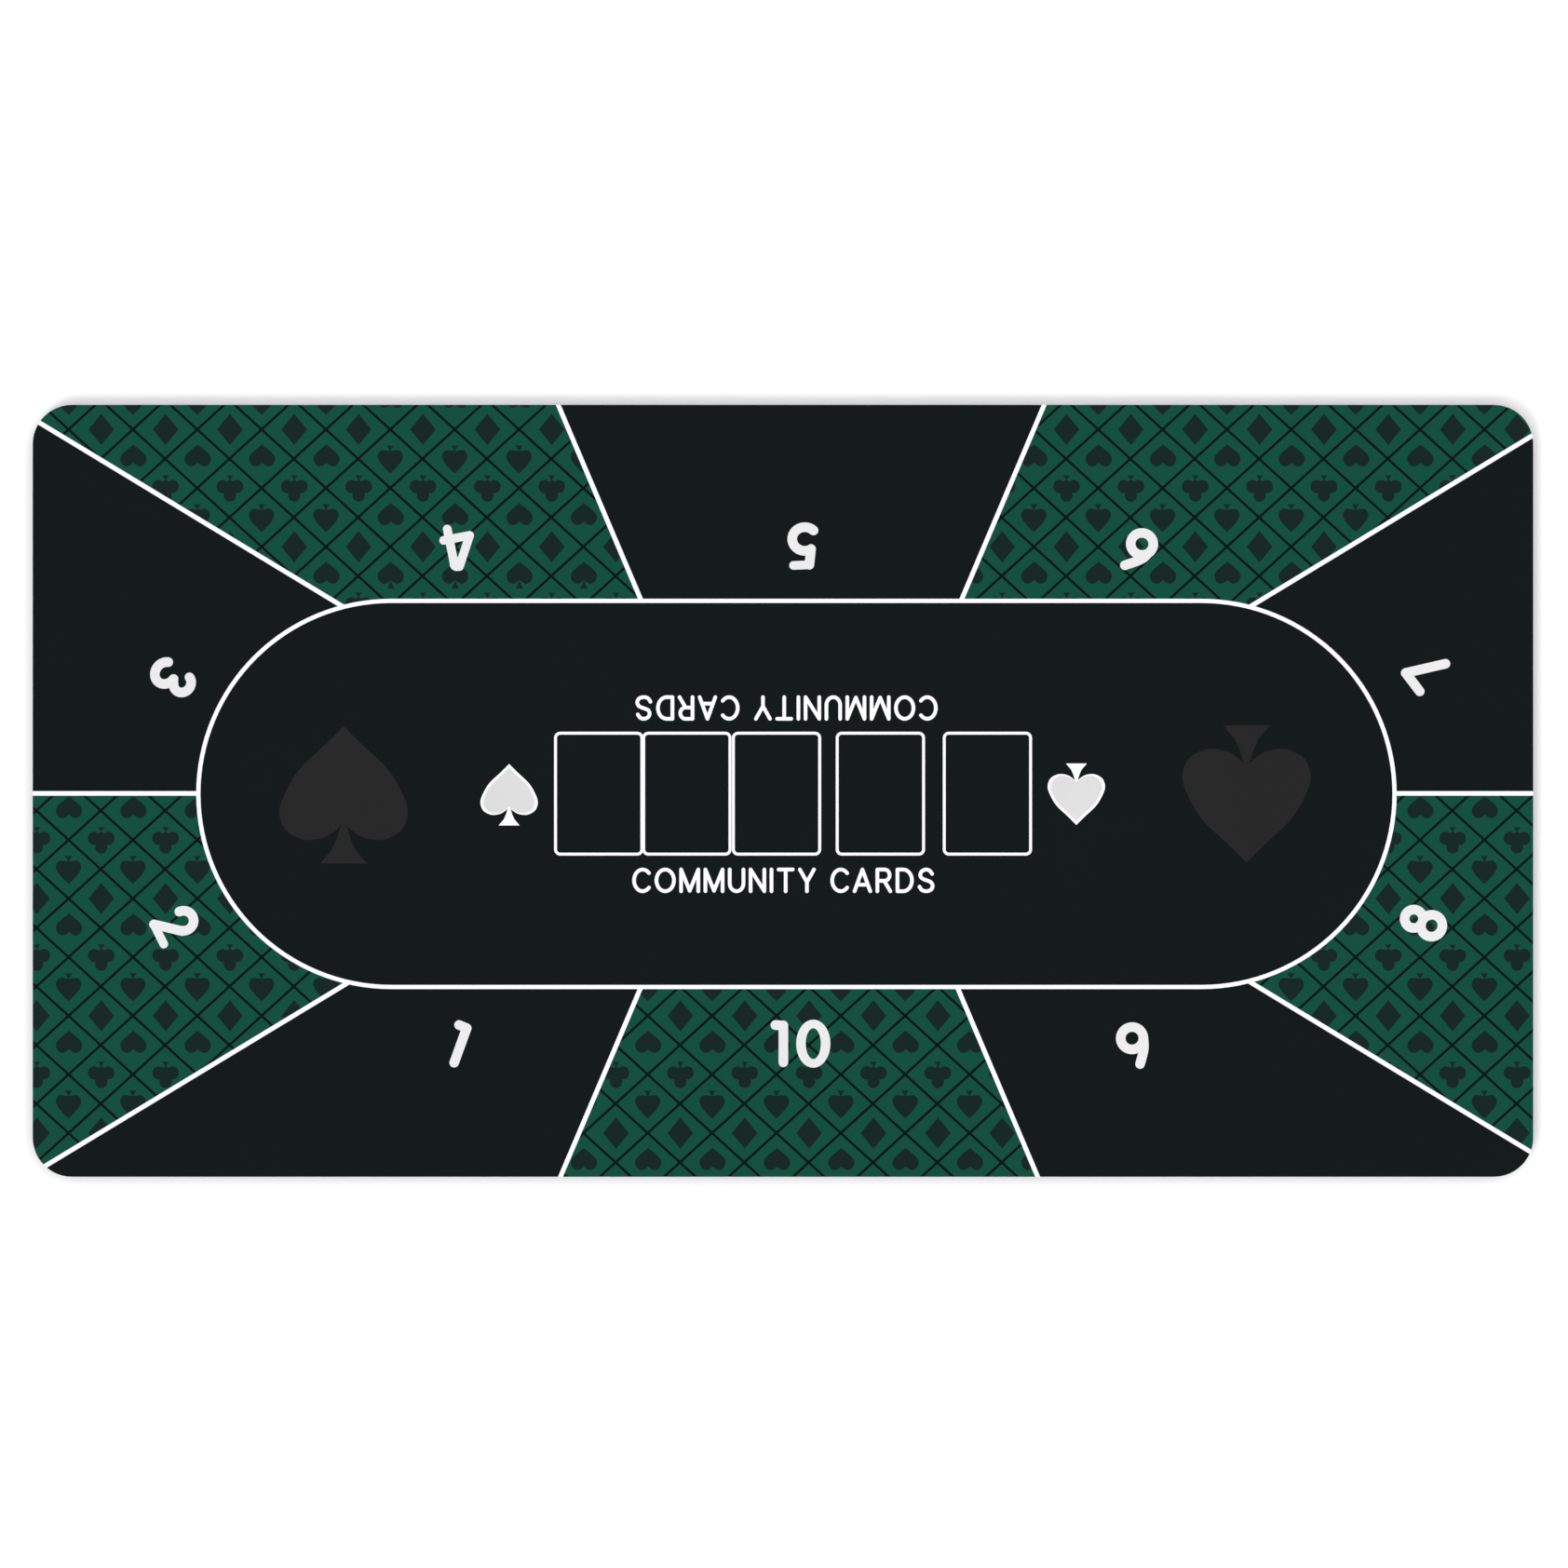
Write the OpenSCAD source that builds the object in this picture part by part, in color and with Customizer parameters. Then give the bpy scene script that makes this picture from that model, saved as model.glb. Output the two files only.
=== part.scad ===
// Folding poker table top: four covered boards and a narrow spine that fold face to face,
// hinged by one continuous cloth and the woven tapes glued under it.
// Millimetres. +X runs along the open top, +Z is up, and z = 0 is the face that it rests on.

/* [Top] */
// Length of the open top
top_l = 1800; // [1500:10:2400]
// Width of the top
top_w = 926; // [700:2:1100]
// Radius of the four outer corners
corner_r = 47; // [10:1:120]

/* [Layers] */
// Thickness of each board
board_t = 9; // [6:1:18]
// Thickness of the plastic band around each board
band_t = 1; // [0.5:0.5:3]
// Thickness of the rubber foam on each board
foam_t = 2.5; // [1.5:0.5:6]
// Thickness of the printed cloth
cloth_t = 0.6; // [0.4:0.1:1.2]
// Thickness of the laminate under each board
backing_t = 0.8; // [0.5:0.1:2]

/* [Folds] */
// Room on each side of a fold line, between one panel's edge and the line
fold_gap = 0.3; // [0.3:0.1:1.5]
// Height of the fold lines above the cloth
fold_rise = 0.25; // [0.2:0.05:1]
// Room left between the two outer panels when the top is packed
pack_gap = 1.7; // [0.5:0.1:6]
// How much narrower an outer panel is than an inner one, to clear the spine
outer_short = 2; // [1:0.5:10]
// Width of a hinge tape, across its fold
tape_w = 30; // [16:1:32]
// Thickness of a hinge tape
tape_t = 0.3; // [0.2:0.05:0.6]
// How far each end of a tape stops short of the top's edge
tape_inset = 2; // [0:0.5:20]

/* [Pads] */
// Thickness of the rubber pads
pad_t = 3; // [2:0.5:6]
// Radius of a panel's pads
pad_r = 20; // [10:1:30]
// Radius of the spine's pads
spine_pad_r = 11; // [6:0.5:13]
// Distance from a panel's edges to the middle of its pads
pad_inset = 62; // [40:1:120]
// Bevel around the face of a pad
pad_bevel = 0.6; // [0.2:0.1:1.5]

/* [Hidden] */
$fn = 72;

// Heights of the layers, from the resting face up
backing_z = pad_t;
board_z = backing_z + backing_t;
foam_z = board_z + board_t;
cloth_z = foam_z + foam_t;
top_z = cloth_z + cloth_t;
fold_z = top_z + fold_rise;

// Fold lines: the packed spine stands on edge and spans the two outer panels
spine_w = 2 * fold_z + pack_gap;
inner_fold_x = spine_w / 2;
inner_w = (top_l / 2 - inner_fold_x + outer_short) / 2;
outer_fold_x = inner_fold_x + inner_w;

// A panel is [left edge, right edge, left corner radius, right corner radius]
LEFT_OUTER = [-top_l / 2, -outer_fold_x - fold_gap, corner_r, 0];
LEFT_INNER = [-outer_fold_x + fold_gap, -inner_fold_x - fold_gap, 0, 0];
SPINE = [-inner_fold_x + fold_gap, inner_fold_x - fold_gap, 0, 0];
RIGHT_INNER = [inner_fold_x + fold_gap, outer_fold_x - fold_gap, 0, 0];
RIGHT_OUTER = [outer_fold_x + fold_gap, top_l / 2, 0, corner_r];

LEFT = -1;
RIGHT = 1;
half_tape = tape_w / 2 - fold_gap;
tape_z = cloth_z - tape_t;
tape_y = top_w / 2 - tape_inset;

// The outline of a panel, drawn in from its edges by inset
module outline(panel, inset = 0) {
    x0 = panel[0] + inset;
    x1 = panel[1] - inset;
    y1 = top_w / 2 - inset;
    r0 = max(panel[2] - inset, 0);
    r1 = max(panel[3] - inset, 0);
    r = max(r0, r1);
    translate([x0 + r0, -y1]) square([x1 - r1 - x0 - r0, 2 * y1]);
    if (r > 0) translate([x0, -y1 + r]) square([x1 - x0, 2 * (y1 - r)]);
    for (side = [LEFT, RIGHT]) {
        if (r0 > 0) translate([x0 + r0, side * (y1 - r0)]) circle(r0);
        if (r1 > 0) translate([x1 - r1, side * (y1 - r1)]) circle(r1);
    }
}

// A flat sheet of thickness t whose lower face is at z
module layer(z, t) {
    translate([0, 0, z]) linear_extrude(t) children();
}

// The strip of a hinge tape that lies on one panel, along the edge on the given side
module tape_strip(panel, side) {
    x = side == LEFT ? panel[0] : panel[1] - half_tape;
    translate([x, -tape_y, tape_z]) cube([half_tape, 2 * tape_y, tape_t]);
}

// Board of one panel
module board(panel) {
    color("burlywood") layer(board_z, board_t) outline(panel, band_t);
}

// Plastic band around the edges of one board, flush with its faces
module edge_band(panel) {
    color([0.04, 0.04, 0.045]) layer(board_z, board_t) difference() {
        outline(panel);
        outline(panel, band_t);
    }
}

// Laminate glued under one board
module backing(panel) {
    color([0.09, 0.1, 0.1]) layer(backing_z, backing_t) outline(panel);
}

// Rubber foam on one board, cut away for the tapes along the sides that fold
module foam(panel, tape_sides) {
    color([0.12, 0.12, 0.12]) difference() {
        layer(foam_z, foam_t) outline(panel);
        for (side = tape_sides) tape_strip(panel, side);
    }
}

// The stretch of the printed cloth that is bonded to one panel
module cloth(panel) {
    color([0.02, 0.3, 0.22]) layer(cloth_z, cloth_t) outline(panel);
}

// The half of a hinge tape that is glued to one panel
module tape(panel, side) {
    color("dimgray") tape_strip(panel, side);
}

// One round rubber pad, bevelled around its lower face
module pad(r) {
    cylinder(h = pad_bevel, r1 = r - pad_bevel, r2 = r);
    translate([0, 0, pad_bevel]) cylinder(h = pad_t - pad_bevel, r = r);
}

// Pads under one wide panel: two columns of three
module panel_pads(panel) {
    color([0.06, 0.06, 0.06])
        for (x = [panel[0] + pad_inset, panel[1] - pad_inset], row = [-1, 0, 1])
            translate([x, row * (top_w / 2 - pad_inset), 0]) pad(pad_r);
}

// Pads under the spine: one row of three small ones
module spine_pads() {
    color([0.06, 0.06, 0.06])
        for (row = [-1, 0, 1])
            translate([0, row * (top_w / 2 - pad_inset), 0]) pad(spine_pad_r);
}

// Left outer panel
board(LEFT_OUTER);  // left_outer_board
edge_band(LEFT_OUTER);  // left_outer_edge_band
foam(LEFT_OUTER, [RIGHT]);  // left_outer_foam
cloth(LEFT_OUTER);  // left_outer_cloth
backing(LEFT_OUTER);  // left_outer_backing
panel_pads(LEFT_OUTER);  // left_outer_pads

// Left inner panel
board(LEFT_INNER);  // left_inner_board
edge_band(LEFT_INNER);  // left_inner_edge_band
foam(LEFT_INNER, [LEFT, RIGHT]);  // left_inner_foam
cloth(LEFT_INNER);  // left_inner_cloth
backing(LEFT_INNER);  // left_inner_backing
panel_pads(LEFT_INNER);  // left_inner_pads

// Spine
board(SPINE);  // spine_board
edge_band(SPINE);  // spine_edge_band
foam(SPINE, [LEFT, RIGHT]);  // spine_foam
cloth(SPINE);  // spine_cloth
backing(SPINE);  // spine_backing
spine_pads();

// Right inner panel
board(RIGHT_INNER);  // right_inner_board
edge_band(RIGHT_INNER);  // right_inner_edge_band
foam(RIGHT_INNER, [LEFT, RIGHT]);  // right_inner_foam
cloth(RIGHT_INNER);  // right_inner_cloth
backing(RIGHT_INNER);  // right_inner_backing
panel_pads(RIGHT_INNER);  // right_inner_pads

// Right outer panel
board(RIGHT_OUTER);  // right_outer_board
edge_band(RIGHT_OUTER);  // right_outer_edge_band
foam(RIGHT_OUTER, [LEFT]);  // right_outer_foam
cloth(RIGHT_OUTER);  // right_outer_cloth
backing(RIGHT_OUTER);  // right_outer_backing
panel_pads(RIGHT_OUTER);  // right_outer_pads

// Hinge tapes, each in two halves that meet at its fold line
tape(LEFT_OUTER, RIGHT);  // left_outer_tape
tape(LEFT_INNER, LEFT);  // left_inner_outer_tape
tape(LEFT_INNER, RIGHT);  // left_inner_spine_tape
tape(SPINE, LEFT);  // spine_left_tape
tape(SPINE, RIGHT);  // spine_right_tape
tape(RIGHT_INNER, LEFT);  // right_inner_spine_tape
tape(RIGHT_INNER, RIGHT);  // right_inner_outer_tape
tape(RIGHT_OUTER, LEFT);  // right_outer_tape
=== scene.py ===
"""Looks of the folding poker table top: printed cloth, foam, boards, hinge tapes and feet.

The print is laid out in millimetres in plan, X to the right and Y away from the near edge.
Everything that is placed in the scene is in metres.
"""

import math

import bpy
from mathutils.geometry import delaunay_2d_cdt
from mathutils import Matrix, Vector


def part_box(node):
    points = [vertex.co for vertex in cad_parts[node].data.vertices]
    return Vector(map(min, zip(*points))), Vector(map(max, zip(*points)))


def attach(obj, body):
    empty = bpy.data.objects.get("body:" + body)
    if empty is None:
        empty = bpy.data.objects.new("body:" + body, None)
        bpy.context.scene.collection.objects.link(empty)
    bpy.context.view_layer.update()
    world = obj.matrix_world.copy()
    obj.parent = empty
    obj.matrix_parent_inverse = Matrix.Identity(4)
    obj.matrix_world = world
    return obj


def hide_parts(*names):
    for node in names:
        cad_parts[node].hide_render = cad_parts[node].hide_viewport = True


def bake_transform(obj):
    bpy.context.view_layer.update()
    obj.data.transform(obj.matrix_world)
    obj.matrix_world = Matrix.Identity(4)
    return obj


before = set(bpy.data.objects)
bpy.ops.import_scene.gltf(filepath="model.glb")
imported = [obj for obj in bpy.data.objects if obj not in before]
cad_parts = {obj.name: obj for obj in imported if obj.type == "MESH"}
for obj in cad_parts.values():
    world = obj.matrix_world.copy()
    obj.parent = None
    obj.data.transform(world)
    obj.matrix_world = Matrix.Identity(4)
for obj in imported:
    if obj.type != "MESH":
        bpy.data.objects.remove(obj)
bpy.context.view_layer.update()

MM = 0.001

# ---------------------------------------------------------------- layout of the print, in mm

CORNER_R = 47.0
LINE_W = 5.4
RACETRACK = {"cx": 16.2, "cy": -3.7, "half": 717.5, "r": 231.6, "w": 4.95}
SEAT_LINES = {  # outer and inner end of each line between two seats
    "1-2": ((-884.6, -449.8), (-523.6, -231.3)),
    "2-3": ((-900.0, -3.1), (-701.1, -3.1)),
    "3-4": ((-892.2, 441.8), (-531.4, 223.2)),
    "4-5": ((-269.5, 462.9), (-171.0, 230.6)),
    "5-6": ((313.6, 463.5), (214.9, 230.8)),
    "6-7": ((900.9, 427.3), (563.6, 222.9)),
    "7-8": ((900.0, -3.1), (733.5, -3.1)),
    "8-9": ((896.9, -433.1), (559.3, -228.7)),
    "9-10": ((305.5, -462.7), (210.6, -238.9)),
    "10-1": ((-266.7, -462.5), (-171.7, -238.7)),
}
# the lines beside each patterned seat, and a point past the corner of the cloth it takes in
PATTERNED_SEATS = {
    2: ("2-3", "1-2", None),
    4: ("3-4", "4-5", (-960.0, 520.0)),
    6: ("5-6", "6-7", (960.0, 520.0)),
    8: ("8-9", "7-8", None),
    10: ("10-1", "9-10", None),
}
LATTICE = {"x": -818.4, "y": 433.5, "half_w": 38.6, "half_h": 35.17, "line": 3.0}
LATTICE_LINES = range(-61, 80, 2)  # in half cells along each diagonal, to cover the cloth
LATTICE_ENDS = (-90, 110)
PIP_ROWS, PIP_COLUMNS = range(-1, 27), range(-2, 25)
SUITS = ("diamond", "heart", "club", "spade")
# seat 4 breaks the order of the suits in these rows, to the right of an x
ODD_SUITS, ODD_SUITS_X = {-1: "heart", 1: "spade", 3: "heart", 5: "spade_up"}, -490
REACH = 60  # how far an area runs on under what covers or cuts it
LINE_REACH = 40  # the same for a line between two seats
SEAT_NUMBERS = {  # x, y and degrees of turn
    1: (-386.9, -304.0, -20),
    2: (-730.9, -163.8, -62),
    3: (-732.0, 136.1, 232),
    4: (-391.9, 291.9, 195),
    5: (24.2, 293.1, 180),
    6: (427.4, 289.7, 163),
    7: (770.9, 135.6, 128),
    8: (768.1, -158.8, 68),
    9: (419.0, -305.7, 17),
    10: (20.3, -302.9, 0),
}
CARD = {"w": 107.0, "h": 148.5, "r": 7.3, "line": 3.4, "y": -3.4}
CARD_X = (-221.0, -115.3, -7.7, 116.9, 245.3)
# apex x, apex y, height and half turns of each spade
BIG_SPADES = ((-527.0, 77.5, 164.7, 0), (556.2, -86.2, 164.7, 1))
SMALL_SPADES = ((-328.5, 32.2, 73.7, 0), (352.0, -40.9, 73.7, 1))
SPADE_MIDDLE = 0.55  # below the apex, as a share of the height
SPADE_BANDS = (("pale_edge", 0.95), ("pale", 0.88))  # inside the white, and their sizes
WORDS = {"text": "COMMUNITY CARDS", "w": 363.0, "cap": 30.3, "stroke": 4.3}
WORDS |= {"space": 9.0, "narrowed": 0.88}
WORDS_AT = ((0.7, -107.4, 0), (4.1, 99.4, 180))  # x, y and degrees of turn

# ---------------------------------------------------------------- plane shapes


def arc(cx, cy, rx, ry, start, end, n=16):
    """Points on an ellipse from one angle to the other, in degrees."""
    turn = [math.radians(start + (end - start) * i / n) for i in range(n + 1)]
    return [(cx + rx * math.cos(t), cy + ry * math.sin(t)) for t in turn]


def circle(cx, cy, rx, ry, sides):
    """The corners of a many-sided ellipse."""
    return arc(cx, cy, rx, ry, 0, 360, sides)[:sides]


def moved(points, x, y, degrees=0.0, scale=1.0):
    """Points scaled and turned about the origin, then shifted."""
    c, s = math.cos(math.radians(degrees)), math.sin(math.radians(degrees))
    return [(x + scale * (c * u - s * v), y + scale * (s * u + c * v)) for u, v in points]


def smooth(points, n=4):
    """A Catmull-Rom line through the points."""
    ends = [points[0], *points, points[-1]]
    line = []
    for a, b, c, d in zip(ends, ends[1:], ends[2:], ends[3:]):
        for i in range(n):
            t = i / n
            k = (
                (-t + 2 * t * t - t**3) / 2,
                (2 - 5 * t * t + 3 * t**3) / 2,
                (t + 4 * t * t - 3 * t**3) / 2,
                (t**3 - t * t) / 2,
            )
            line.append(tuple(sum(w * p[j] for w, p in zip(k, (a, b, c, d))) for j in (0, 1)))
    return [*line, points[-1]]


def mirrored(half):
    """A closed outline from its right half, whose ends lie on the middle line."""
    return half + [(-x, y) for x, y in reversed(half) if abs(x) > 1e-9]


def normals(path, closed=False):
    """The left-hand normal at each point of a line, lengthened at corners as a mitre is."""
    out = []
    n = len(path)
    for i in range(n):
        before = path[i - 1] if i or closed else None
        after = path[(i + 1) % n] if i < n - 1 or closed else None
        sides = []
        for a, b in ((before, path[i]), (path[i], after)):
            if a is None or b is None:
                continue
            dx, dy = b[0] - a[0], b[1] - a[1]
            size = math.hypot(dx, dy)
            sides.append((-dy / size, dx / size))
        nx, ny = (sum(s[j] for s in sides) / len(sides) for j in (0, 1))
        mitre = max(nx * nx + ny * ny, 0.3)
        out.append((nx / mitre, ny / mitre))
    return out


def offset(path, d, closed=False):
    """A line moved to its left by a distance."""
    return [(x + d * u, y + d * v) for (x, y), (u, v) in zip(path, normals(path, closed))]


CAP_SIDES = 14


def stroke(path, width, rounded=True):
    """The outline of a line drawn with a pen of that width."""
    half = width / 2
    left, right = offset(path, half), offset(path, -half)
    tip, tail = [], []
    if rounded:
        for cap, (a, b) in ((tip, path[-2:]), (tail, (path[1], path[0]))):
            heading = math.degrees(math.atan2(b[1] - a[1], b[0] - a[0]))
            cap += arc(b[0], b[1], half, half, heading - 90, heading + 90, CAP_SIDES)[1:-1]
    return right + tip + list(reversed(left)) + tail


def clipped(polygon, convex):
    """The part of a polygon inside a convex one, whose corners run anticlockwise."""
    out = polygon
    for (ax, ay), (bx, by) in zip(convex, convex[1:] + convex[:1]):

        def side(p):
            return (bx - ax) * (p[1] - ay) - (by - ay) * (p[0] - ax)

        kept = []
        for p, q in zip(out, out[1:] + out[:1]):
            sp, sq = side(p), side(q)
            if sp >= 0:
                kept.append(p)
            if (sp > 0 > sq) or (sp < 0 < sq):
                t = sp / (sp - sq)
                kept.append((p[0] + t * (q[0] - p[0]), p[1] + t * (q[1] - p[1])))
        out = kept
        if len(out) < 3:
            return []
    return out


def area(polygon):
    """Positive if the corners run anticlockwise."""
    return sum(p[0] * q[1] - p[1] * q[0] for p, q in zip(polygon, polygon[1:] + polygon[:1])) / 2


# ---------------------------------------------------------------- the pips

# right halves, apex first: the large spade at a height of 1, the small pips in mm
SPADE_LOBES = [(0, 0), (0.136, -0.136), (0.31, -0.3), (0.407, -0.448), (0.467, -0.61)]
SPADE_LOBES += [(0.43, -0.746), (0.33, -0.814), (0.235, -0.828), (0.12, -0.8), (0, -0.71)]
SPADE_STEM = [(0, -0.7), (0.026, -0.74), (0.05, -0.82), (0.085, -0.9), (0.17, -1.0), (0, -1.0)]
LEAF = [(0, 16.8), (5.0, 12.9), (10.6, 8.2), (14.5, 3.8), (15.6, 0.0), (14.6, -4.6)]
LEAF += [(11.6, -8.1), (8.0, -9.4), (3.8, -8.1), (0, -5.0)]
SPADE_PIP = [(0, 9.1), (4.6, 9.6), (9.3, 10.1), (12.6, 8.6), (14.7, 5.0), (15.0, 1.4)]
SPADE_PIP += [(12.9, -3.6), (8.9, -8.8), (4.4, -13.6), (0, -17.6)]
PIP_SHIFT, PIP_SCALE = (0.6, 0.2), 1.01  # from the middle of a lattice cell


def spade(x, y, height, half_turns):
    """(lobes, stem) of a large spade with its apex at a point."""
    lobes = mirrored(smooth(SPADE_LOBES, 5))
    stem = mirrored(SPADE_STEM)
    return [moved(p, x, y, 180 * half_turns, height) for p in (lobes, stem)]


def small_pip(suit, x, y):
    """The outlines that make up one pip of the pattern, drawn for a player across the table."""
    if suit == "diamond":
        shapes = [[(15.3, -0.2), (0, 18.5), (-15.3, -0.2), (0, -18.9)]]
    elif suit == "club":
        shapes = [circle(side * 8.5, 1.7, 7.4, 7.9, 20) for side in (-1, 1)]
        shapes.append(circle(0, -8.9, 7.4, 7.6, 20))
        shapes.append([(-5, 6.6), (-5, -4.9), (5, -4.9), (5, 6.6), (0, 9.9)])
        shapes.append([(-4.2, 15.0), (0, 9.1), (4.2, 15.0)])
    elif suit == "spade":
        shapes = [mirrored(smooth(SPADE_PIP, 4)), [(-4.3, 15.6), (0, 8.6), (4.3, 15.6)]]
    else:
        shapes = [mirrored(smooth(LEAF, 4))]
        if suit == "spade_up":
            shapes.append([(-4.4, -15.2), (4.4, -15.2), (0, -5.5)])
    right = 0.0 if suit == "spade" else PIP_SHIFT[0]
    return [moved(s, x + right, y + PIP_SHIFT[1], scale=PIP_SCALE) for s in shapes]


# ---------------------------------------------------------------- figures and letters

PEN = 11.4
BAR = 0.9 * PEN
FIGURE_LINES = {  # lines and their widths, about each figure's own middle
    1: [([(-9.4, 21.2), (0.5, 20.7)], PEN), ([(0.5, 20.7), (0.5, -23.3)], PEN)],
    2: [
        (arc(-1.5, 14.2, 12.0, 12.1, 177, -34, 24), PEN),
        ([(8.7, 6.9), (-14.3, -19.2)], PEN),
        ([(-14.3, -19.2), (12.1, -19.9)], BAR),
    ],
    3: [
        (arc(-1.4, 13.5, 11.3, 10.2, 167, -56, 20), PEN),
        (arc(1.2, -10.1, 13.8, 12.1, 91, -153, 26), PEN),
    ],
    4: [
        ([(2.3, 23.1), (-19.3, -9.9)], BAR),
        ([(-19.3, -9.9), (12.4, -12.2)], BAR),
        ([(7.5, 19.8), (4.7, -24.2)], BAR),
        ([(4.5, 19.2), (4.5, 19.0)], 16.9),  # rounds off the tip
    ],
    5: [
        ([(11.5, 22.7), (-7.5, 21.9)], BAR),
        ([(-7.5, 21.9), (-9.5, 2.9)], PEN),
        (arc(-2.0, -9.0, 15.1, 14.2, 113, -134, 26), PEN),
    ],
    6: [(smooth([(-12.7, -1.1), (-6.4, 10.0), (10.9, 23.3)], 6), PEN)],
    7: [([(-8.5, 15.5), (19.3, 15.2)], PEN), ([(19.3, 15.2), (-1.4, -29.2)], PEN)],
    9: [(smooth([(15.8, 5.7), (11.9, -8.3), (2.6, -23.8)], 6), PEN)],
    10: [([(-29.4, 21.9), (-19.8, 21.5)], PEN), ([(-19.8, 21.5), (-19.8, -22.8)], PEN)],
}
FIGURE_RINGS = {  # middle and radii of each ring's centre line, and its width at top and bottom
    6: [(-1.3, -7.2, 13.6, 13.2, PEN)],
    8: [(0.7, 12.5, 11.1, 11.0, PEN), (1.0, -10.5, 13.2, 12.8, PEN)],
    9: [(2.4, 8.6, 13.6, 13.4, PEN)],
    10: [(16.1, -0.4, 14.8, 23.7, BAR)],
}


def figure(number):
    """(ink, outline) of the parts of a seat number about its own middle, in mm."""
    shapes = [("figure", stroke(path, width)) for path, width in FIGURE_LINES.get(number, ())]
    for cx, cy, rx, ry, width in FIGURE_RINGS.get(number, ()):
        for ink, way in (("figure", 0.5), ("counter", -0.5)):
            shapes.append((ink, circle(cx, cy, rx + way * PEN, ry + way * width, 36)))
    return shapes


S_LINE = [(0.68, 0.8), (0.55, 0.95), (0.36, 1), (0.14, 0.92), (0.06, 0.75), (0.14, 0.6)]
S_LINE += [(0.37, 0.51), (0.61, 0.42), (0.71, 0.25), (0.62, 0.07), (0.38, 0), (0.15, 0.05)]
S_LINE += [(0.02, 0.21)]
LETTERS = {  # width, and lines in a box one cap height high
    "C": (0.80, [arc(0.45, 0.5, 0.45, 0.5, 42, 318, 22)]),
    "O": (0.92, [arc(0.46, 0.5, 0.46, 0.5, a, a + 190, 18) for a in (0, 180)]),
    "M": (
        0.90,
        [[(x, 0), (x, 1)] for x in (0, 0.9)] + [[(x, 1), (0.45, 0.02)] for x in (0, 0.9)],
    ),
    "U": (0.72, [[(0, 1), *arc(0.36, 0.36, 0.36, 0.36, 180, 360, 14), (0.72, 1)]]),
    "N": (0.72, [[(0, 0), (0, 1)], [(0, 1), (0.72, 0)], [(0.72, 0), (0.72, 1)]]),
    "I": (0.0, [[(0, 0), (0, 1)]]),
    "T": (0.74, [[(0, 1), (0.74, 1)], [(0.37, 1), (0.37, 0)]]),
    "Y": (0.74, [[(0, 1), (0.37, 0.42)], [(0.74, 1), (0.37, 0.42)], [(0.37, 0.42), (0.37, 0)]]),
    "A": (0.82, [[(0, 0), (0.41, 1)], [(0.82, 0), (0.41, 1)], [(0.14, 0.3), (0.68, 0.3)]]),
    "R": (
        0.68,
        [
            [(0, 0), (0, 1)],
            [(0, 1), *arc(0.38, 0.74, 0.26, 0.26, 90, -90, 12), (0, 0.48)],
            [(0.36, 0.48), (0.68, 0)],
        ],
    ),
    "D": (0.76, [[(0, 0), (0, 1)], [(0, 1), *arc(0.3, 0.5, 0.46, 0.5, 90, -90, 16), (0, 0)]]),
    "S": (0.73, [smooth(S_LINE, 3)]),
}


def words(x, y, degrees):
    """Outlines of the line of lettering, centred on a point."""
    pen = WORDS["stroke"]
    height = WORDS["cap"] - pen
    wide = height * WORDS["narrowed"]
    text = WORDS["text"]
    drawn = sum(LETTERS[c][0] * wide + pen if c != " " else WORDS["space"] for c in text)
    gap = (WORDS["w"] - drawn) / (len(text) - 1)
    shapes = []
    at = -WORDS["w"] / 2
    for c in text:
        if c == " ":
            at += WORDS["space"] + gap
            continue
        width, lines = LETTERS[c]
        for line in lines:
            placed = [(at + pen / 2 + wide * u, height * (v - 0.5)) for u, v in line]
            shapes.append(moved(stroke(placed, pen), x, y, degrees))
        at += width * wide + pen + gap
    return shapes


# ---------------------------------------------------------------- the whole print


def beyond(start, end, d):
    """The point a distance past the end of a line."""
    size = math.hypot(end[0] - start[0], end[1] - start[1])
    return tuple(e + (e - s) * d / size for s, e in zip(start, end))


def seat_area(seat):
    """A patterned seat's area, run out past the edge of the cloth and in under the racetrack."""
    first, second, corner = PATTERNED_SEATS[seat]
    (a_out, a_in), (b_out, b_in) = SEAT_LINES[first], SEAT_LINES[second]
    shape = [beyond(a_in, a_out, REACH), corner, beyond(b_in, b_out, REACH)]
    shape += [beyond(b_out, b_in, REACH), beyond(a_out, a_in, REACH)]
    shape = [p for p in shape if p]
    return shape if area(shape) > 0 else shape[::-1]


def racetrack(side):
    """Half of the racetrack's centre line: side 1 is the right half and -1 the left."""
    cx, cy, r = RACETRACK["cx"], RACETRACK["cy"], RACETRACK["r"]
    end = cx + side * (RACETRACK["half"] - r)
    bend = arc(end, cy, r, r, 90, 90 - side * 180, 64)
    return [(cx - side, cy + r), *bend, (cx - side, cy - r)]


def card_frame(x, side):
    """The right or left half of a card frame about an x."""
    w, h, line = CARD["w"] / 2 - CARD["line"] / 2, CARD["h"] / 2 - CARD["line"] / 2, CARD["line"]
    r, y = CARD["r"] - line / 2, CARD["y"]
    right = arc(w - r, h - r, r, r, 90, 0, 6) + arc(w - r, r - h, r, r, 0, -90, 6)
    half = [(-1, h), *right, (-1, -h)]
    return stroke([(x + side * u, y + v) for u, v in half], line, rounded=False)


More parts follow.
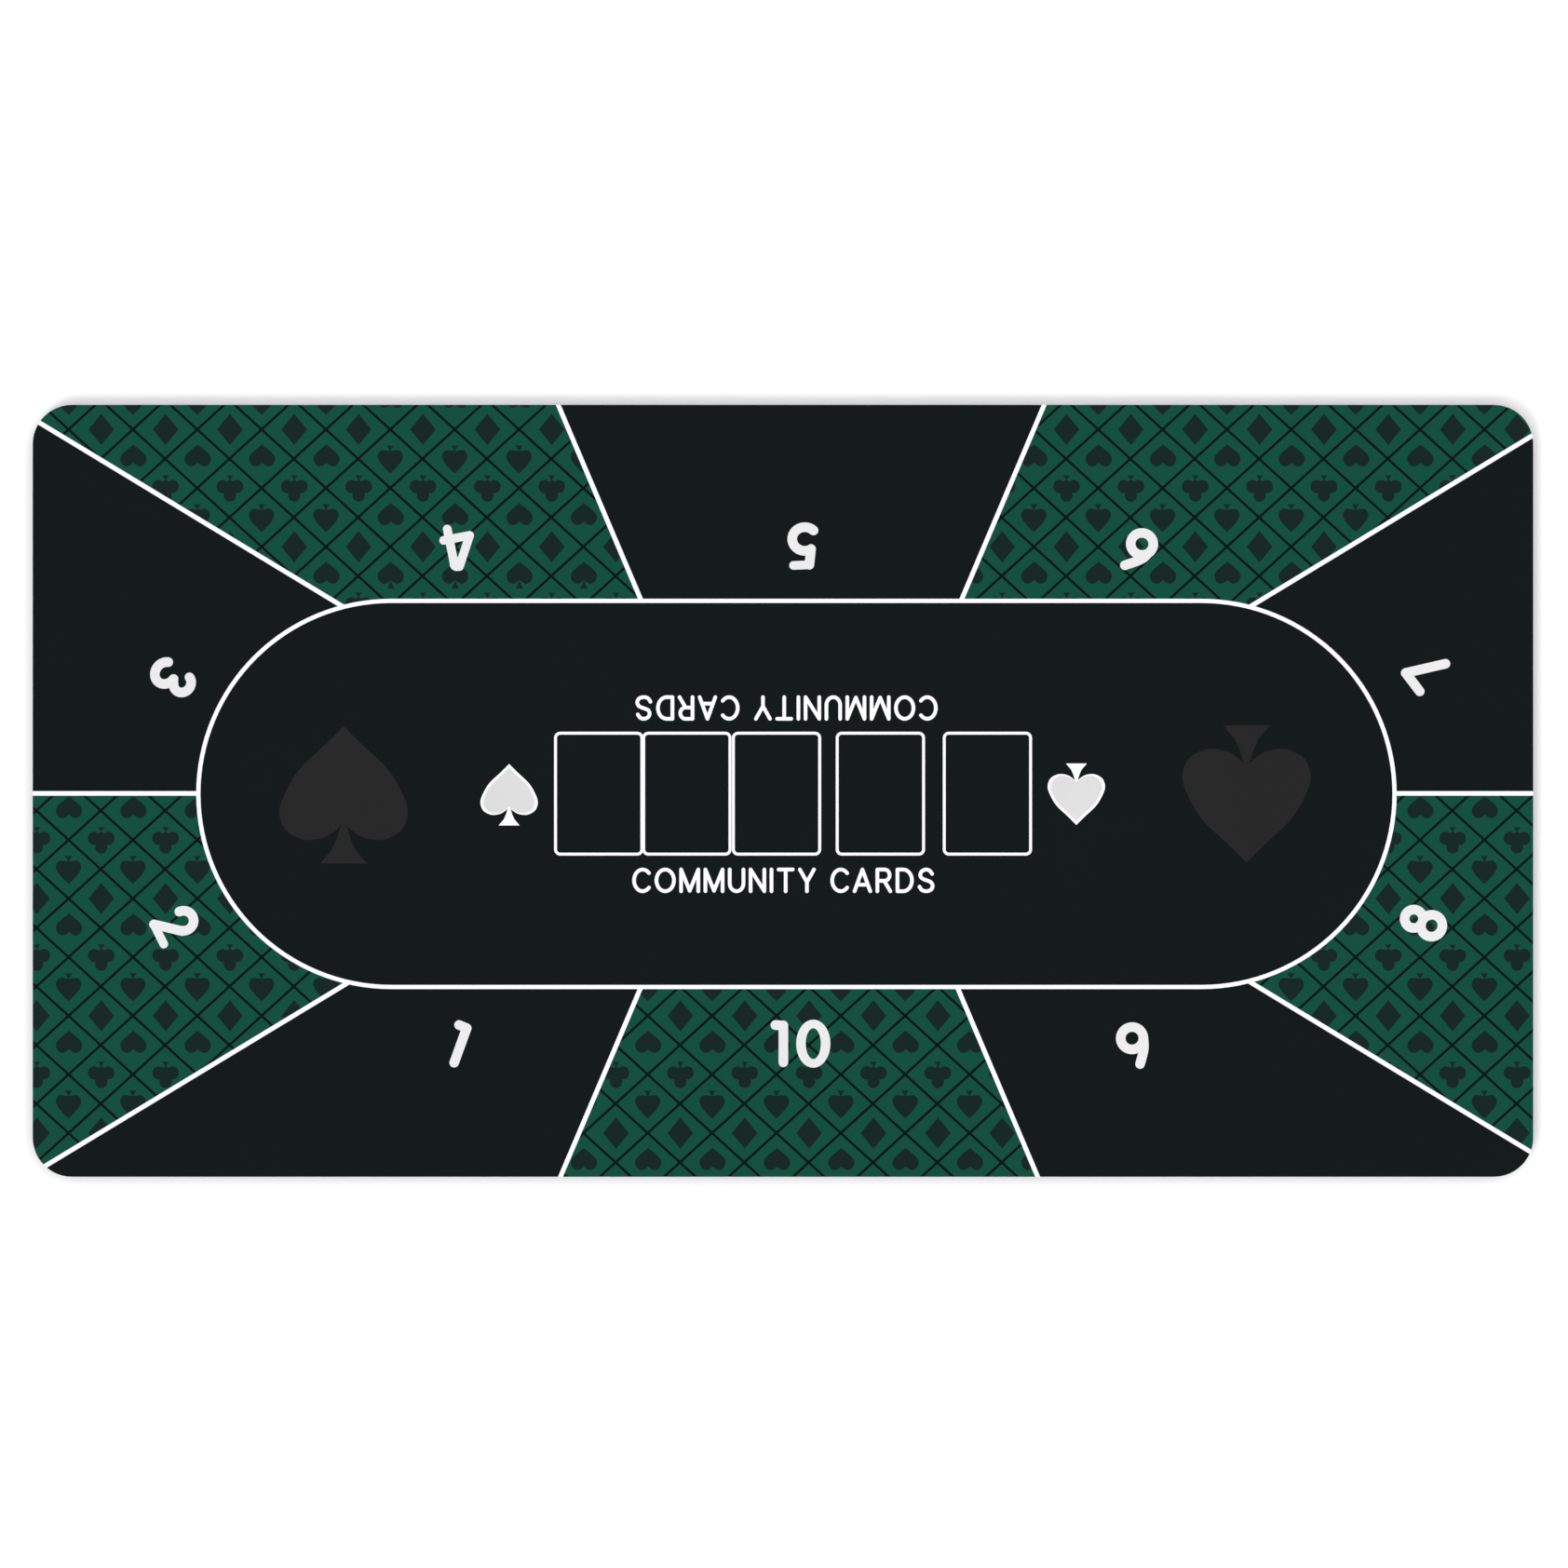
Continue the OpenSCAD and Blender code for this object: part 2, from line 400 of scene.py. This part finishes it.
def pattern(seat):
    """Lattice lines and pips of one patterned seat."""
    inside = seat_area(seat)
    w, h = LATTICE["half_w"], LATTICE["half_h"]
    found = []

    def at(u, v):
        return (LATTICE["x"] + w * (u + v) / 2, LATTICE["y"] + h * (u - v) / 2)

    first, last = LATTICE_ENDS
    for c in LATTICE_LINES:
        for a, b in ((at(c, first), at(c, last)), (at(first, c), at(last, c))):
            line = clipped(stroke([a, b], LATTICE["line"], rounded=False), inside)
            if len(line) > 2 and abs(area(line)) > 1:
                found.append(("lattice", line))
    lowest_x, highest_x = min(p[0] for p in inside), max(p[0] for p in inside)
    lowest_y, highest_y = min(p[1] for p in inside), max(p[1] for p in inside)
    for row in PIP_ROWS:
        for column in PIP_COLUMNS:
            x = LATTICE["x"] + w * (2 * column + row % 2)
            y = LATTICE["y"] - h * row
            if not (lowest_x - w < x < highest_x + w and lowest_y - h < y < highest_y + h):
                continue
            suit = SUITS[row % 4]
            if seat == 4 and x > ODD_SUITS_X:
                suit = ODD_SUITS.get(row, suit)
            for shape in small_pip(suit, x, y):
                if abs(area(clipped(shape, inside))) > 0.5:
                    found.append(("pip", shape))
    return found


def whole_print():
    """(kind, outline) for everything printed on the cloth."""
    found = []
    for seat in PATTERNED_SEATS:
        found.append(("green", seat_area(seat)))
        found += pattern(seat)
    found.append(("middle", racetrack(1)[1:-1] + racetrack(-1)[1:-1][::-1]))
    for out, inner in SEAT_LINES.values():
        line = [beyond(inner, out, LINE_REACH), beyond(out, inner, LINE_REACH)]
        found.append(("seat_line", stroke(line, LINE_W, rounded=False)))
    for side in (1, -1):
        found.append(("white", stroke(racetrack(side), RACETRACK["w"], rounded=False)))
        found += [("white", card_frame(x, side)) for x in CARD_X]
    for place in BIG_SPADES:
        found += [("spade", s) for s in spade(*place)]
    for place in SMALL_SPADES:
        lobes, stem = spade(*place)
        x, y = place[0], place[1] - SPADE_MIDDLE * place[2] * (1 - 2 * place[3])
        found += [("white", lobes), ("white", stem)]
        for ink, share in SPADE_BANDS:
            found.append((ink, [(x + share * (u - x), y + share * (v - y)) for u, v in lobes]))
    for place in WORDS_AT:
        found += [("white", s) for s in words(*place)]
    for number, (x, y, degrees) in SEAT_NUMBERS.items():
        found += [(ink, moved(s, x, y, degrees)) for ink, s in figure(number)]
    return found


def ink_of(kinds):
    """The ink that shows where outlines of these kinds lie over each other."""
    if "counter" in kinds:
        kinds = kinds - {"figure"}
    for ink in ("figure", "pale", "pale_edge", "white", "spade"):
        if ink in kinds:
            return ink
    if "middle" in kinds:
        return "black"
    if "seat_line" in kinds:
        return "white"
    if "green" not in kinds:
        return "black"
    return "pip" if "pip" in kinds else "lattice" if "lattice" in kinds else "green"


# ---------------------------------------------------------------- meshes


MERGE = 1e-3  # mm between points that count as one


def new_object(name, verts, faces):
    mesh = bpy.data.meshes.new(name)
    mesh.from_pydata(verts, [], faces)
    mesh.update()
    obj = bpy.data.objects.new(name, mesh)
    bpy.context.scene.collection.objects.link(obj)
    return obj


def panel_outline(x0, x1, y, r0=0.0, r1=0.0, n=12):
    """A rectangle in plan with its left and right corners rounded, anticlockwise."""
    shape = []
    for cx, cy, r, start in (
        (x1 - r1, -y + r1, r1, -90),
        (x1 - r1, y - r1, r1, 0),
        (x0 + r0, y - r0, r0, 90),
        (x0 + r0, -y + r0, r0, 180),
    ):
        shape += arc(cx, cy, r, r, start, start + 90, n) if r else [(cx, cy)]
    return shape


def cut_up(outline, regions, rows, pick):
    """An outline as triangles that keep to the edges of the regions and to the rows.

    Returns the points, the triangles and each triangle's material number.
    """
    x0, x1 = min(p[0] for p in outline), max(p[0] for p in outline)
    y0, y1 = min(p[1] for p in outline), max(p[1] for p in outline)
    points, faces, kinds, edges = list(outline), [list(range(len(outline)))], ["outline"], []
    for kind, shape in regions:
        if min(p[0] for p in shape) < x1 and max(p[0] for p in shape) > x0:
            faces.append(list(range(len(points), len(points) + len(shape))))
            points += shape if area(shape) > 0 else shape[::-1]
            kinds.append(kind)
    for x in rows:
        edges.append((len(points), len(points) + 1))
        points += [(x, y0), (x, y1)]
    flat, _, triangles, _, _, over = delaunay_2d_cdt(points, edges, faces, 0, MERGE, True)
    kept, numbers = [], []
    for triangle, above in zip(triangles, over):
        if 0 in above:
            a, b, c = (flat[i] for i in triangle)
            if (b - a).cross(c - a) < 0:
                triangle = triangle[::-1]
            kept.append(tuple(triangle))
            numbers.append(pick({kinds[i] for i in above}) if pick else 0)
    used = sorted({i for t in kept for i in t})
    place = {old: new for new, old in enumerate(used)}
    kept = [tuple(place[i] for i in t) for t in kept]
    return [(flat[i][0], flat[i][1]) for i in used], kept, numbers


def rim_of(triangles, numbers):
    """The points round the outside, in order, each with the material number of its edge."""
    ahead, ink_ahead = {}, {}
    seen = {(t[i], t[(i + 1) % 3]) for t in triangles for i in range(3)}
    for t, number in zip(triangles, numbers):
        for i in range(3):
            if (t[(i + 1) % 3], t[i]) not in seen:
                ahead[t[i]] = t[(i + 1) % 3]
                ink_ahead[t[i]] = number
    loop = [min(ahead)]
    while ahead[loop[-1]] != loop[0]:
        loop.append(ahead[loop[-1]])
    return loop, [ink_ahead[i] for i in loop]


def slab(name, outline, low, high, regions=(), rows=(), pick=None, dip=None, waist=0.0):
    """A thin closed mesh over a plan outline, in mm, with its top split along the regions.

    rows are x values where it can bend, pick gives a face's material number from the kinds of
    region over it, dip gives how far the top is lowered at a point, and waist draws its rim in.
    """
    flat, kept, numbers = cut_up(outline, regions, rows, pick)
    loop, loop_inks = rim_of(kept, numbers)
    n = len(flat)
    verts = [(x * MM, y * MM, high - (dip(x, y) * MM if dip else 0)) for x, y in flat]
    verts += [(x * MM, y * MM, low) for x, y in flat]
    faces = kept + [tuple(n + i for i in reversed(t)) for t in kept]
    slots = numbers + numbers
    plan = [flat[i % n] for t in faces for i in t]
    if waist:
        ring = offset([flat[i] for i in loop], waist, closed=True)
        verts += [(x * MM, y * MM, (low + high) / 2) for x, y in ring]
    for k, (i, ink) in enumerate(zip(loop, loop_inks)):
        after = (k + 1) % len(loop)
        j = loop[after]
        levels = [(i, j), (n + i, n + j)]
        if waist:
            levels.insert(1, (2 * n + k, 2 * n + after))
        for (a, b), (c, d) in zip(levels, levels[1:]):
            faces.append((c, d, b, a))
            slots.append(ink)
            plan += [flat[i], flat[j], flat[j], flat[i]]
    obj = new_object(name, verts, faces)
    obj.data.polygons.foreach_set("material_index", slots)
    layer = obj.data.uv_layers.new(name="plan")
    layer.data.foreach_set("uv", [MM * v for p in plan for v in p])
    obj.data.validate()
    return obj


def paint(obj, *materials):
    """Gives an object those materials in place of any that it has."""
    if obj.data.materials:  # clearing an empty list would reset the faces' material numbers
        obj.data.materials.clear()
    for m in materials:
        obj.data.materials.append(m)
    return obj


# ---------------------------------------------------------------- materials


class Shader:
    """A material under construction: a Principled shader and the nodes that feed it."""

    def __init__(self, name, roughness, **sockets):
        self.material = bpy.data.materials.new(name)
        self.material.use_nodes = True
        self.tree = self.material.node_tree
        self.bsdf = next(n for n in self.tree.nodes if n.type == "BSDF_PRINCIPLED")
        self.bsdf.inputs["Roughness"].default_value = roughness
        for key, value in sockets.items():
            self.bsdf.inputs[key.replace("_", " ")].default_value = value

    def node(self, kind, inputs=None, **settings):
        made = self.tree.nodes.new("ShaderNode" + kind)
        for key, value in settings.items():
            setattr(made, key, value)
        for key, value in (inputs or {}).items():
            if hasattr(value, "is_output"):
                self.tree.links.new(value, made.inputs[key])
            else:
                made.inputs[key].default_value = value
        return made

    def place(self, flat):
        """Coordinates that stay with the piece: its own plan, or a CAD node's own space."""
        if flat:
            return self.node("UVMap", uv_map="plan").outputs["UV"]
        return self.node("TexCoord").outputs["Object"]

    def noise(self, where, scale, detail=3.0, rough=0.55):
        """Noise from 0 to 1, with scale features to the metre."""
        inputs = {"Vector": where, "Scale": scale, "Detail": detail, "Roughness": rough}
        return self.node("TexNoise", inputs).outputs["Fac"]

    def math(self, operation, a, b):
        return self.node("Math", {0: a, 1: b}, operation=operation).outputs[0]

    def tint(self, amount, dark, light):
        """Base colour that runs from one colour to the other as amount goes from 0 to 1."""
        mix = self.node("Mix", data_type="RGBA", clamp_factor=True)
        self.tree.links.new(amount, mix.inputs["Factor"])
        for key, colour in (("A", dark), ("B", light)):
            socket = [s for s in mix.inputs if s.name == key and s.type == "RGBA"][0]
            socket.default_value = (*colour, 1)
        result = [s for s in mix.outputs if s.type == "RGBA"][0]
        self.tree.links.new(result, self.bsdf.inputs["Base Color"])

    def bump(self, height, distance, strength=1.0):
        """Surface relief, distance metres high where height goes from 0 to 1."""
        inputs = {"Height": height, "Distance": distance, "Strength": strength}
        normal = self.node("Bump", inputs).outputs["Normal"]
        self.tree.links.new(normal, self.bsdf.inputs["Normal"])

    def worn_edge(self, where, reach):
        """1 on the panel edges, fading to 0 that far in, and broken up as handling wears them."""
        axes = self.node("SeparateXYZ", {0: where})
        nearest = None
        for axis, edges in panel_edges().items():
            out = self.math("ABSOLUTE", axes.outputs[axis], 0.0)
            for edge in edges:
                gap = self.math("ABSOLUTE", self.math("SUBTRACT", out, edge), 0.0)
                nearest = gap if nearest is None else self.math("MINIMUM", nearest, gap)
        fade = {"Value": nearest, "From Max": reach, "To Min": 1.0, "To Max": 0.0}
        near = self.node("MapRange", fade).outputs["Result"]
        return self.math("MULTIPLY", near, self.noise(where, 55.0, 5.0, 0.7))

    def rough(self, amount, low, high):
        """Roughness that runs from low to high as amount goes from 0 to 1."""
        spread = self.node("MapRange", {"Value": amount, "To Min": low, "To Max": high})
        self.tree.links.new(spread.outputs["Result"], self.bsdf.inputs["Roughness"])


def shade(colour, by):
    """A colour made that much lighter, up to white."""
    return tuple(min(c * by, 1.0) for c in colour)


WAVE_PERIOD = math.pi / 10  # of a Wave texture at scale 1
CLOTH_PITCH, TAPE_PITCH = 0.0009, 0.0012  # between threads, in metres
INK_SPREAD = (0.88, 1.27)  # darkest and lightest shade of an ink


def weave(shader, where, pitch, fibres):
    """Height of a plain weave: each thread is round, and goes over and under in turn."""
    both = []
    for direction in ("X", "Y"):
        inputs = {"Vector": where, "Scale": WAVE_PERIOD / pitch}
        wave = shader.node("TexWave", inputs, bands_direction=direction, wave_profile="SIN")
        both.append(wave.outputs["Fac"])
    over = shader.node("TexChecker", {"Vector": where, "Scale": 1 / pitch}).outputs["Fac"]
    across = shader.math("MULTIPLY", both[0], over)
    along = shader.math("MULTIPLY", both[1], shader.math("SUBTRACT", 1.0, over))
    fibre = shader.math("MULTIPLY", shader.noise(where, fibres, 2.0), 0.6)
    return shader.math("ADD", shader.math("ADD", across, along), fibre)


def printed_cloth(ink, colour):
    """Close-woven polyester with that ink in it, and a painted highlight on the crown of each
    thread.
    """
    name = "cloth_" + ink
    s = Shader(name, 0.86, Specular_IOR_Level=0.03, Sheen_Weight=0.03, Sheen_Roughness=0.6)
    where = s.place(flat=True)
    threads = weave(s, where, CLOTH_PITCH, 2600.0)
    cloudy = s.math("MULTIPLY", s.noise(where, 4.0, 4.0), 0.55)
    slub = s.math("MULTIPLY", s.noise(where, 420.0, 2.0), 0.2)
    # painted highlight: the colour is paler where each thread's crown rises in the weave
    crown_highlight = s.math("MULTIPLY", threads, 0.22)
    amount = s.math("ADD", s.math("ADD", cloudy, slub), crown_highlight)
    dark, light = INK_SPREAD
    s.tint(amount, shade(colour, dark), shade(colour, light))
    s.bump(threads, 0.00022, 0.8)
    return s.material


def hinge_tape():
    """Black cotton webbing."""
    s = Shader("tape_woven", 0.9, Specular_IOR_Level=0.15, Sheen_Weight=0.2, Sheen_Roughness=0.5)
    where = s.place(flat=True)
    s.tint(s.noise(where, 300.0), (0.012, 0.012, 0.013), (0.03, 0.03, 0.032))
    s.bump(weave(s, where, TAPE_PITCH, 1800.0), 0.0001, 0.8)
    return s.material


def cut_foam():
    """Closed-cell rubber foam, cut square, so the cells show at the rim, with painted shade in
    the hollow of each cut cell.
    """
    s = Shader("foam_rubber", 0.88, Specular_IOR_Level=0.2)
    where = s.place(flat=False)
    cells = s.node("TexVoronoi", {"Vector": where, "Scale": 1500.0}).outputs["Distance"]
    # painted shade: darker towards each cell's middle, where the bump dips
    s.tint(cells, (0.008, 0.009, 0.009), (0.03, 0.031, 0.031))
    s.bump(s.math("ADD", cells, s.noise(where, 900.0)), 0.0002, 0.7)
    return s.material


def fibre_board():
    """Raw fibreboard, flecked."""
    s = Shader("board_fibre", 0.82, Specular_IOR_Level=0.3)
    where = s.place(flat=False)
    s.tint(s.noise(where, 260.0, 6.0, 0.7), (0.2, 0.12, 0.06), (0.36, 0.24, 0.13))
    s.bump(s.noise(where, 1200.0, 4.0), 0.0001, 0.5)
    return s.material


def edge_plastic():
    """Satin extruded strip: fine marks along it and a light orange-peel."""
    s = Shader("edge_band_plastic", 0.4, Specular_IOR_Level=0.28)
    where = s.place(flat=False)
    stretched = s.node("Mapping", {"Vector": where, "Scale": (1.0, 1.0, 60.0)}).outputs["Vector"]
    marks = s.noise(stretched, 60.0, 4.0)
    s.tint(marks, (0.005, 0.0055, 0.006), (0.012, 0.0125, 0.013))
    s.rough(s.noise(where, 90.0), 0.34, 0.52)
    s.bump(s.math("ADD", marks, s.noise(where, 700.0)), 0.0001, 0.5)
    return s.material


def pebbled_laminate():
    """Pebble-grained laminate with a painted highlight on the top of each pebble, rubbed paler
    along the panel edges.
    """
    s = Shader("backing_laminate", 0.55, Specular_IOR_Level=0.25)
    where = s.place(flat=False)
    warped = s.node("TexNoise", {"Vector": where, "Scale": 90.0, "Detail": 2.0}).outputs["Color"]
    shifted = s.node("VectorMath", {0: warped, 1: (0.004, 0.004, 0.004)}, operation="MULTIPLY")
    spot = s.node("VectorMath", {0: where, 1: shifted.outputs[0]}, operation="ADD").outputs[0]
    pebble = s.node("TexVoronoi", {"Vector": spot, "Scale": 330.0}, feature="SMOOTH_F1")
    cells = pebble.outputs["Distance"]
    mottle = s.math("MULTIPLY", s.noise(where, 9.0, 6.0, 0.6), 0.45)
    # painted highlight: paler on the top of each pebble, where the bump rises
    pebble_highlight = s.math("MULTIPLY", s.math("SUBTRACT", 1.0, cells), 0.25)
    rubbed = s.math("MULTIPLY", s.worn_edge(where, 0.012), 0.9)
    amount = s.math("ADD", s.math("ADD", mottle, pebble_highlight), rubbed)
    s.tint(amount, (0.004, 0.0045, 0.005), (0.034, 0.035, 0.036))
    s.rough(cells, 0.4, 0.66)
    s.bump(s.math("SUBTRACT", 1.0, cells), 0.0009, 0.8)
    return s.material


def moulded_rubber():
    """Matt rubber with a fine skin."""
    s = Shader("feet_rubber", 0.72, Specular_IOR_Level=0.2)
    where = s.place(flat=False)
    s.tint(s.noise(where, 120.0, 4.0), (0.003, 0.003, 0.0035), (0.012, 0.012, 0.0125))
    s.rough(s.noise(where, 60.0), 0.62, 0.82)
    s.bump(s.noise(where, 1500.0, 3.0), 0.00015, 0.6)
    return s.material


def pale_floor():
    """Nearly white, and nearly even."""
    s = Shader("floor_pale", 0.9, Specular_IOR_Level=0.1)
    where = s.place(flat=False)
    s.tint(s.noise(where, 3.0), (0.97, 0.97, 0.97), (0.99, 0.99, 0.99))
    return s.material


# in the order of the cloth's material slots
INK_COLOURS = {
    "black": (0.0035, 0.0063, 0.0065),
    "green": (0.0034, 0.0637, 0.0379),
    "lattice": (0.0004, 0.0037, 0.0028),
    "pip": (0.0049, 0.0152, 0.0128),
    "spade": (0.0156, 0.0156, 0.0156),
    "white": (0.93, 0.93, 0.93),
    "pale_edge": (0.75, 0.75, 0.75),
    "pale": (0.605, 0.605, 0.605),
    "figure": (0.70, 0.70, 0.70),
}

# ---------------------------------------------------------------- the pieces

PANELS = ("left_outer", "left_inner", "spine", "right_inner", "right_outer")
BEND = 0.6  # half the width of cloth that bends at a fold, mm
BEND_ROWS = 8


def edges_of(node):
    """(lowest, highest) x of a CAD node in mm."""
    low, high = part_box(node)
    return low.x / MM, high.x / MM


def fold_x(left, right):
    """Where two panels meet, in mm."""
    return (edges_of(left + "_cloth")[1] + edges_of(right + "_cloth")[0]) / 2


def panel_edges():
    """Distances of the panels' edges from the middle along each axis, in metres."""
    ends = edges_of("right_outer_cloth")[1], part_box("right_outer_cloth")[1].y
    folds = fold_x("spine", "right_inner"), fold_x("right_inner", "right_outer")
    return {"X": [x * MM for x in (*folds, ends[0])], "Y": [ends[1]]}


def bend_rows(x):
    """Where the faces of a piece that bends at x are split."""
    return [x + BEND * (2 * i / BEND_ROWS - 1) for i in range(BEND_ROWS + 1)]


def across(obj, left, right, x):
    """Bakes obj's placement into its mesh; obj lies across the fold between two panels."""
    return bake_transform(obj)


def printed_cloths():
    """The one cloth, drawn as four lengths that each cross one fold and meet on a panel."""
    artwork = whole_print()
    inks = [printed_cloth(ink, colour) for ink, colour in INK_COLOURS.items()]
    numbers = {ink: number for number, ink in enumerate(INK_COLOURS)}
    left, right = edges_of("left_outer_cloth")[0], edges_of("right_outer_cloth")[1]
    inner = edges_of("left_inner_cloth"), edges_of("right_inner_cloth")
    seams = [left, sum(inner[0]) / 2, 0.0, sum(inner[1]) / 2, right]
    lowest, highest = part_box("left_outer_cloth")
    half_width = highest.y / MM
    replaced = (("left_outer", "left_inner"), ("spine",), ("right_inner",), ("right_outer",))
    for i, nodes in enumerate(replaced):
        a, b = PANELS[i], PANELS[i + 1]
        x0, x1 = seams[i], seams[i + 1]
        x = fold_x(a, b)
        radii = CORNER_R * (i == 0), CORNER_R * (i == 3)
        obj = slab(
            f"{a}_to_{b}_printed_cloth",
            panel_outline(x0, x1, half_width, *radii),
            lowest.z,
            highest.z,
            regions=artwork,
            rows=bend_rows(x),
            pick=lambda kinds: numbers[ink_of(kinds)],
        )
        paint(obj, *inks)
        across(obj, a, b, x)
        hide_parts(*(n + "_cloth" for n in nodes))


TAPES = {
    ("left_outer", "left_inner"): ("left_outer_tape", "left_inner_outer_tape"),
    ("left_inner", "spine"): ("left_inner_spine_tape", "spine_left_tape"),
    ("spine", "right_inner"): ("spine_right_tape", "right_inner_spine_tape"),
    ("right_inner", "right_outer"): ("right_inner_outer_tape", "right_outer_tape"),
}


def hinge_tapes():
    material = hinge_tape()
    for (a, b), nodes in TAPES.items():
        (low, _), (_, high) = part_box(nodes[0]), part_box(nodes[1])
        x = fold_x(a, b)
        shape = panel_outline(low.x / MM, high.x / MM, high.y / MM)
        obj = slab(f"{a}_to_{b}_hinge_tape", shape, low.z, high.z, rows=bend_rows(x))
        paint(obj, material)
        across(obj, a, b, x)
        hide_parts(*nodes)


TOUCH = 1e-6  # m
FOAM_SLACK = 1e-3  # mm
RAMP = 0.3  # mm over which the foam drops to a tape
WAIST = 0.35  # mm that the foam's cut rim is drawn in


def tape_strips(low, high):
    """(x0, x1, half length) of the parts of the tapes that lie on a foam layer, in mm."""
    strips = []
    for nodes in TAPES.values():
        for node in nodes:
            a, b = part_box(node)
            if low.x - TOUCH <= a.x and b.x <= high.x + TOUCH:
                strips.append((a.x / MM, b.x / MM, b.y / MM))
    return strips


def foam_layers():
    """Foam under the cloth, pressed down under each tape and drawn in at its cut rim."""
    material = cut_foam()
    for panel in PANELS:
        low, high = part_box(panel + "_foam")
        strips = tape_strips(low, high)
        depth = (high.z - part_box(TAPES[("left_outer", "left_inner")][0])[0].z) / MM
        regions = [("tape", panel_outline(x0, x1, y)) for x0, x1, y in strips]
        regions += [
            ("ramp", panel_outline(x0 - RAMP, x1 + RAMP, y + RAMP)) for x0, x1, y in strips
        ]

        def dip(x, y):
            inside = any(
                x0 - FOAM_SLACK <= x <= x1 + FOAM_SLACK and abs(y) <= w + FOAM_SLACK
                for x0, x1, w in strips
            )
            return depth if inside else 0.0

        radii = CORNER_R * (panel == PANELS[0]), CORNER_R * (panel == PANELS[-1])
        shape = panel_outline(low.x / MM, high.x / MM, high.y / MM, *radii)
        obj = slab(panel + "_foam_layer", shape, low.z, high.z, regions, dip=dip, waist=WAIST)
        paint(obj, material)
        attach(obj, panel)
        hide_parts(panel + "_foam")


# radius as a share of the foot's, and height above the ground as a share of its thickness
FOOT_PROFILE = (
    (0.0, 0.3), (0.16, 0.3), (0.2, 0.02), (0.26, 0.0), (0.32, 0.02), (0.36, 0.24), (0.46, 0.24),
    (0.5, 0.02), (0.56, 0.0), (0.62, 0.02), (0.66, 0.24), (0.76, 0.24), (0.8, 0.02), (0.86, 0.0),
    (0.92, 0.03), (0.97, 0.14), (0.992, 0.34), (1.0, 0.6), (1.0, 1.0), (0.0, 1.0),
)  # fmt: skip
FOOT_SIDES = 40
FOOT_R = {"wide": 20.0, "spine": 11.0}  # mm


def foot_places(panel):
    """Centres and radius of a panel's feet, in mm."""
    low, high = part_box(panel + "_pads")
    r = FOOT_R.get(panel, FOOT_R["wide"])
    columns = [low.x / MM + r, high.x / MM - r]
    if panel == "spine":
        columns = [sum(columns) / 2]
    rows = (low.y / MM + r, 0.0, high.y / MM - r)
    return [(x, y) for x in columns for y in rows], r


def turned_foot(x, y, r, low, thick, first):
    """Points and faces of one foot, numbered from first."""
    verts, faces, rings = [], [], []
    for share, rise in FOOT_PROFILE:
        sides = FOOT_SIDES if share else 1
        start = first + len(verts)
        rings.append(list(range(start, start + sides)))
        circle_at = circle(x, y, r * share, r * share, sides)
        verts += [(px * MM, py * MM, low + rise * thick) for px, py in circle_at]
    for a, b in zip(rings, rings[1:]):
        for i in range(FOOT_SIDES):
            j = (i + 1) % FOOT_SIDES
            quad = (a[j % len(a)], b[j % len(b)], b[i % len(b)], a[i % len(a)])
            faces.append(tuple(dict.fromkeys(quad)))
    return verts, faces


def rubber_feet():
    """Moulded feet with ring treads, turned about each foot's own axis."""
    material = moulded_rubber()
    for panel in PANELS:
        low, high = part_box(panel + "_pads")
        centres, r = foot_places(panel)
        verts, faces = [], []
        for x, y in centres:
            more = turned_foot(x, y, r, low.z, high.z - low.z, len(verts))
            verts += more[0]
            faces += more[1]
        obj = paint(new_object(panel + "_rubber_feet", verts, faces), material)
        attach(obj, panel)
        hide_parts(panel + "_pads")


def finish_cad_nodes():
    """Materials for the pieces whose CAD shape is kept."""
    for part, material in (
        ("board", fibre_board()),
        ("edge_band", edge_plastic()),
        ("backing", pebbled_laminate()),
    ):
        for panel in PANELS:
            paint(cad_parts[f"{panel}_{part}"], material)


# ---------------------------------------------------------------- studio

CAMERA_LENS, SENSOR = 200.0, 36.0
CAMERA_AT = (0.00128, 0.00821, 10.466)
FLOOR_SIZE, CLIP_END = 400.0, 1000
SKY = 1.0
KEY_SUN = (0.94, 48, -35, 25)  # strength, pitch, heading and spread in degrees
FILL_SUN = (0.27, 55, 130, 40)


def sun(name, strength, pitch, heading, spread):
    data = bpy.data.lights.new(name, "SUN")
    data.energy = strength
    data.angle = math.radians(spread)
    obj = bpy.data.objects.new(name, data)
    obj.rotation_euler = (math.radians(pitch), 0, math.radians(heading))
    bpy.context.scene.collection.objects.link(obj)


def floor():
    half = FLOOR_SIZE / 2
    corners = [(-half, -half, 0), (half, -half, 0), (half, half, 0), (-half, half, 0)]
    paint(new_object("floor", corners, [(0, 1, 2, 3)]), pale_floor())


def sky():
    world = bpy.data.worlds.new("studio")
    world.use_nodes = True
    background = next(n for n in world.node_tree.nodes if n.type == "BACKGROUND")
    background.inputs["Color"].default_value = (1, 1, 1, 1)
    background.inputs["Strength"].default_value = SKY
    bpy.context.scene.world = world


def camera():
    obj = bpy.data.objects.new("camera", bpy.data.cameras.new("camera"))
    obj.data.lens = CAMERA_LENS
    obj.data.sensor_width = SENSOR
    obj.data.clip_end = CLIP_END
    obj.location = CAMERA_AT
    bpy.context.scene.collection.objects.link(obj)
    bpy.context.scene.camera = obj


printed_cloths()
hinge_tapes()
foam_layers()
rubber_feet()
finish_cad_nodes()
floor()
sky()
sun("key", *KEY_SUN)
sun("fill", *FILL_SUN)
camera()
bpy.context.scene.view_settings.view_transform = "Standard"
